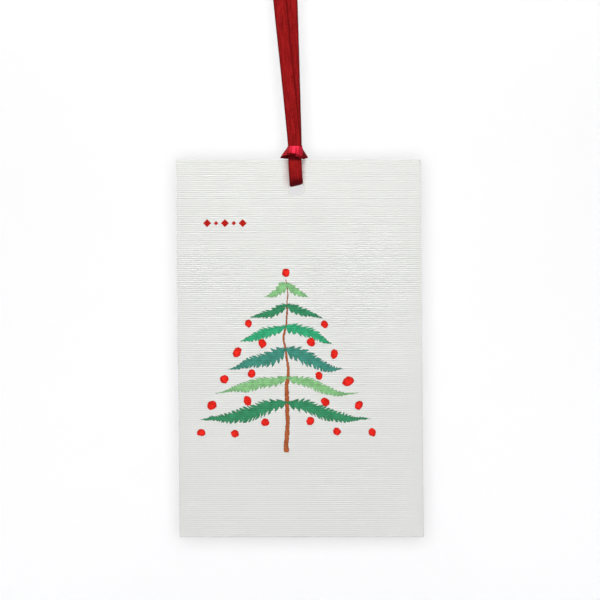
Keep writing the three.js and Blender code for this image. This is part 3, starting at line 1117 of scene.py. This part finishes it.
def ribbed_card(sizes):
    """The card: a flat blank with the punched hole, scored into rows that are raised as ribs."""
    low, high = CARD_LOW, CARD_HIGH
    height = high.z - low.z
    bm = bmesh.new()
    bmesh.ops.create_grid(bm, x_segments=1, y_segments=1, size=0.5)
    for vert in bm.verts:
        down = 0.5 - vert.co.y
        x = low.x + (vert.co.x + 0.5) * sizes.width + math.tan(sizes.skew) * height * down
        vert.co = (x, low.y, high.z - height * down)
    soften(bm, bm.verts[:], sizes.corner, 4, "VERTICES")
    bmesh.ops.delete(bm, geom=bm.faces[:], context="FACES_ONLY")
    rim = bmesh.ops.create_circle(bm, segments=72, radius=HOLE_RADIUS)["verts"]
    for vert in rim:
        vert.co = HOLE + Vector((vert.co.x, low.y, vert.co.y))
    bmesh.ops.triangle_fill(bm, edges=bm.edges[:], use_beauty=True)
    raised = bmesh.ops.extrude_face_region(bm, geom=bm.faces[:])["geom"]
    back = [item for item in raised if isinstance(item, bmesh.types.BMVert)]
    bmesh.ops.translate(bm, verts=back, vec=(0, high.y - low.y, 0))
    bmesh.ops.recalc_face_normals(bm, faces=bm.faces)
    cut = [
        edge
        for edge in bm.edges
        if len(edge.link_faces) == 2
        and abs(edge.link_faces[0].normal.y) + abs(edge.link_faces[1].normal.y) < 1.5
        and abs(edge.verts[0].co.y - edge.verts[1].co.y) < 1e-7
    ]
    soften(bm, cut, sizes.edge, 2, "EDGES")
    for column in range(1, COLUMNS):
        bmesh.ops.bisect_plane(
            bm,
            geom=bm.verts[:] + bm.edges[:] + bm.faces[:],
            dist=1e-8,
            plane_co=(mix(low.x, high.x, column / COLUMNS), 0, 0),
            plane_no=(1, 0, 0),
        )
    below = bm.verts[:] + bm.edges[:] + bm.faces[:]
    for step in range(1, int(height / sizes.rib_pitch * RIB_CUTS) + 1):
        level = high.z - step * sizes.rib_pitch / RIB_CUTS
        cut = bmesh.ops.bisect_plane(
            bm, geom=below, dist=1e-8, plane_co=(0, 0, level), plane_no=(0, 0, 1)
        )
        below = [item for item in cut["geom"] if lowest(item) < level - 1e-7]
    for vert in bm.verts:
        turn = (high.z - vert.co.z) / sizes.rib_pitch * math.tau
        uneven = noise.noise(Vector((math.floor(turn / math.pi) * 0.83, 0.5, 7.3)))
        pressed = rib_strength(vert.co.x, vert.co.z)
        pressed *= 1 + uneven * 0.8 + 0.22 * math.sin(vert.co.z * math.tau / RIB_BEAT)
        vert.co.y -= sizes.rib_depth / 2 * math.sin(turn) * pressed
    piece = mesh_object("card_blank", bm)
    piece.data.set_sharp_from_angle(angle=math.radians(38))
    return piece


class GIFTTAG_OT_cords(bpy.types.Operator):
    """Does nothing: the free lengths of ribbon are left as they were built"""

    bl_idname = "gift_tag.cords"
    bl_label = "Free lengths"

    def execute(self, context):
        return {"FINISHED"}


class GIFTTAG_PT_panel(bpy.types.Panel):
    bl_idname = "GIFTTAG_PT_panel"
    bl_label = "Gift Tag"
    bl_space_type = "VIEW_3D"
    bl_region_type = "UI"
    bl_category = "Gift Tag"

    def draw(self, context):
        for step, *groups in STEPS:
            box = self.layout.box()
            box.operator(step.bl_idname)
            for settings in (getattr(context.scene, group) for group in groups):
                for name in settings.__annotations__:
                    box.prop(settings, name)


# The groups of settings, and the steps in their order, each with the groups that it reads.
SETTINGS = {
    "gift_tag_stage": GiftTagStage,
    "gift_tag_ribbon": GiftTagRibbon,
    "gift_tag_knot": GiftTagKnot,
    "gift_tag_card": GiftTagCard,
    "gift_tag_print": GiftTagPrint,
}
STEPS = (
    (GIFTTAG_OT_stage, "gift_tag_stage"),
    (GIFTTAG_OT_strands, "gift_tag_ribbon"),
    (GIFTTAG_OT_knots, "gift_tag_knot", "gift_tag_ribbon"),
    (GIFTTAG_OT_tails, "gift_tag_ribbon"),
    (GIFTTAG_OT_cords, "gift_tag_ribbon"),
    (GIFTTAG_OT_hole_loop, "gift_tag_ribbon"),
    (GIFTTAG_OT_card, "gift_tag_card", "gift_tag_print"),
)
CLASSES = (*SETTINGS.values(), *(step for step, *_ in STEPS), GIFTTAG_PT_panel)


def register():
    for made in CLASSES:
        bpy.utils.register_class(made)
    for name, group in SETTINGS.items():
        setattr(bpy.types.Scene, name, bpy.props.PointerProperty(type=group))


def unregister():
    for name in SETTINGS:
        delattr(bpy.types.Scene, name)
    for made in reversed(CLASSES):
        bpy.utils.unregister_class(made)


def main():
    register()
    for step, *_ in STEPS:
        family, name = step.bl_idname.split(".")
        getattr(getattr(bpy.ops, family), name)()


if __name__ == "__main__":
    main()
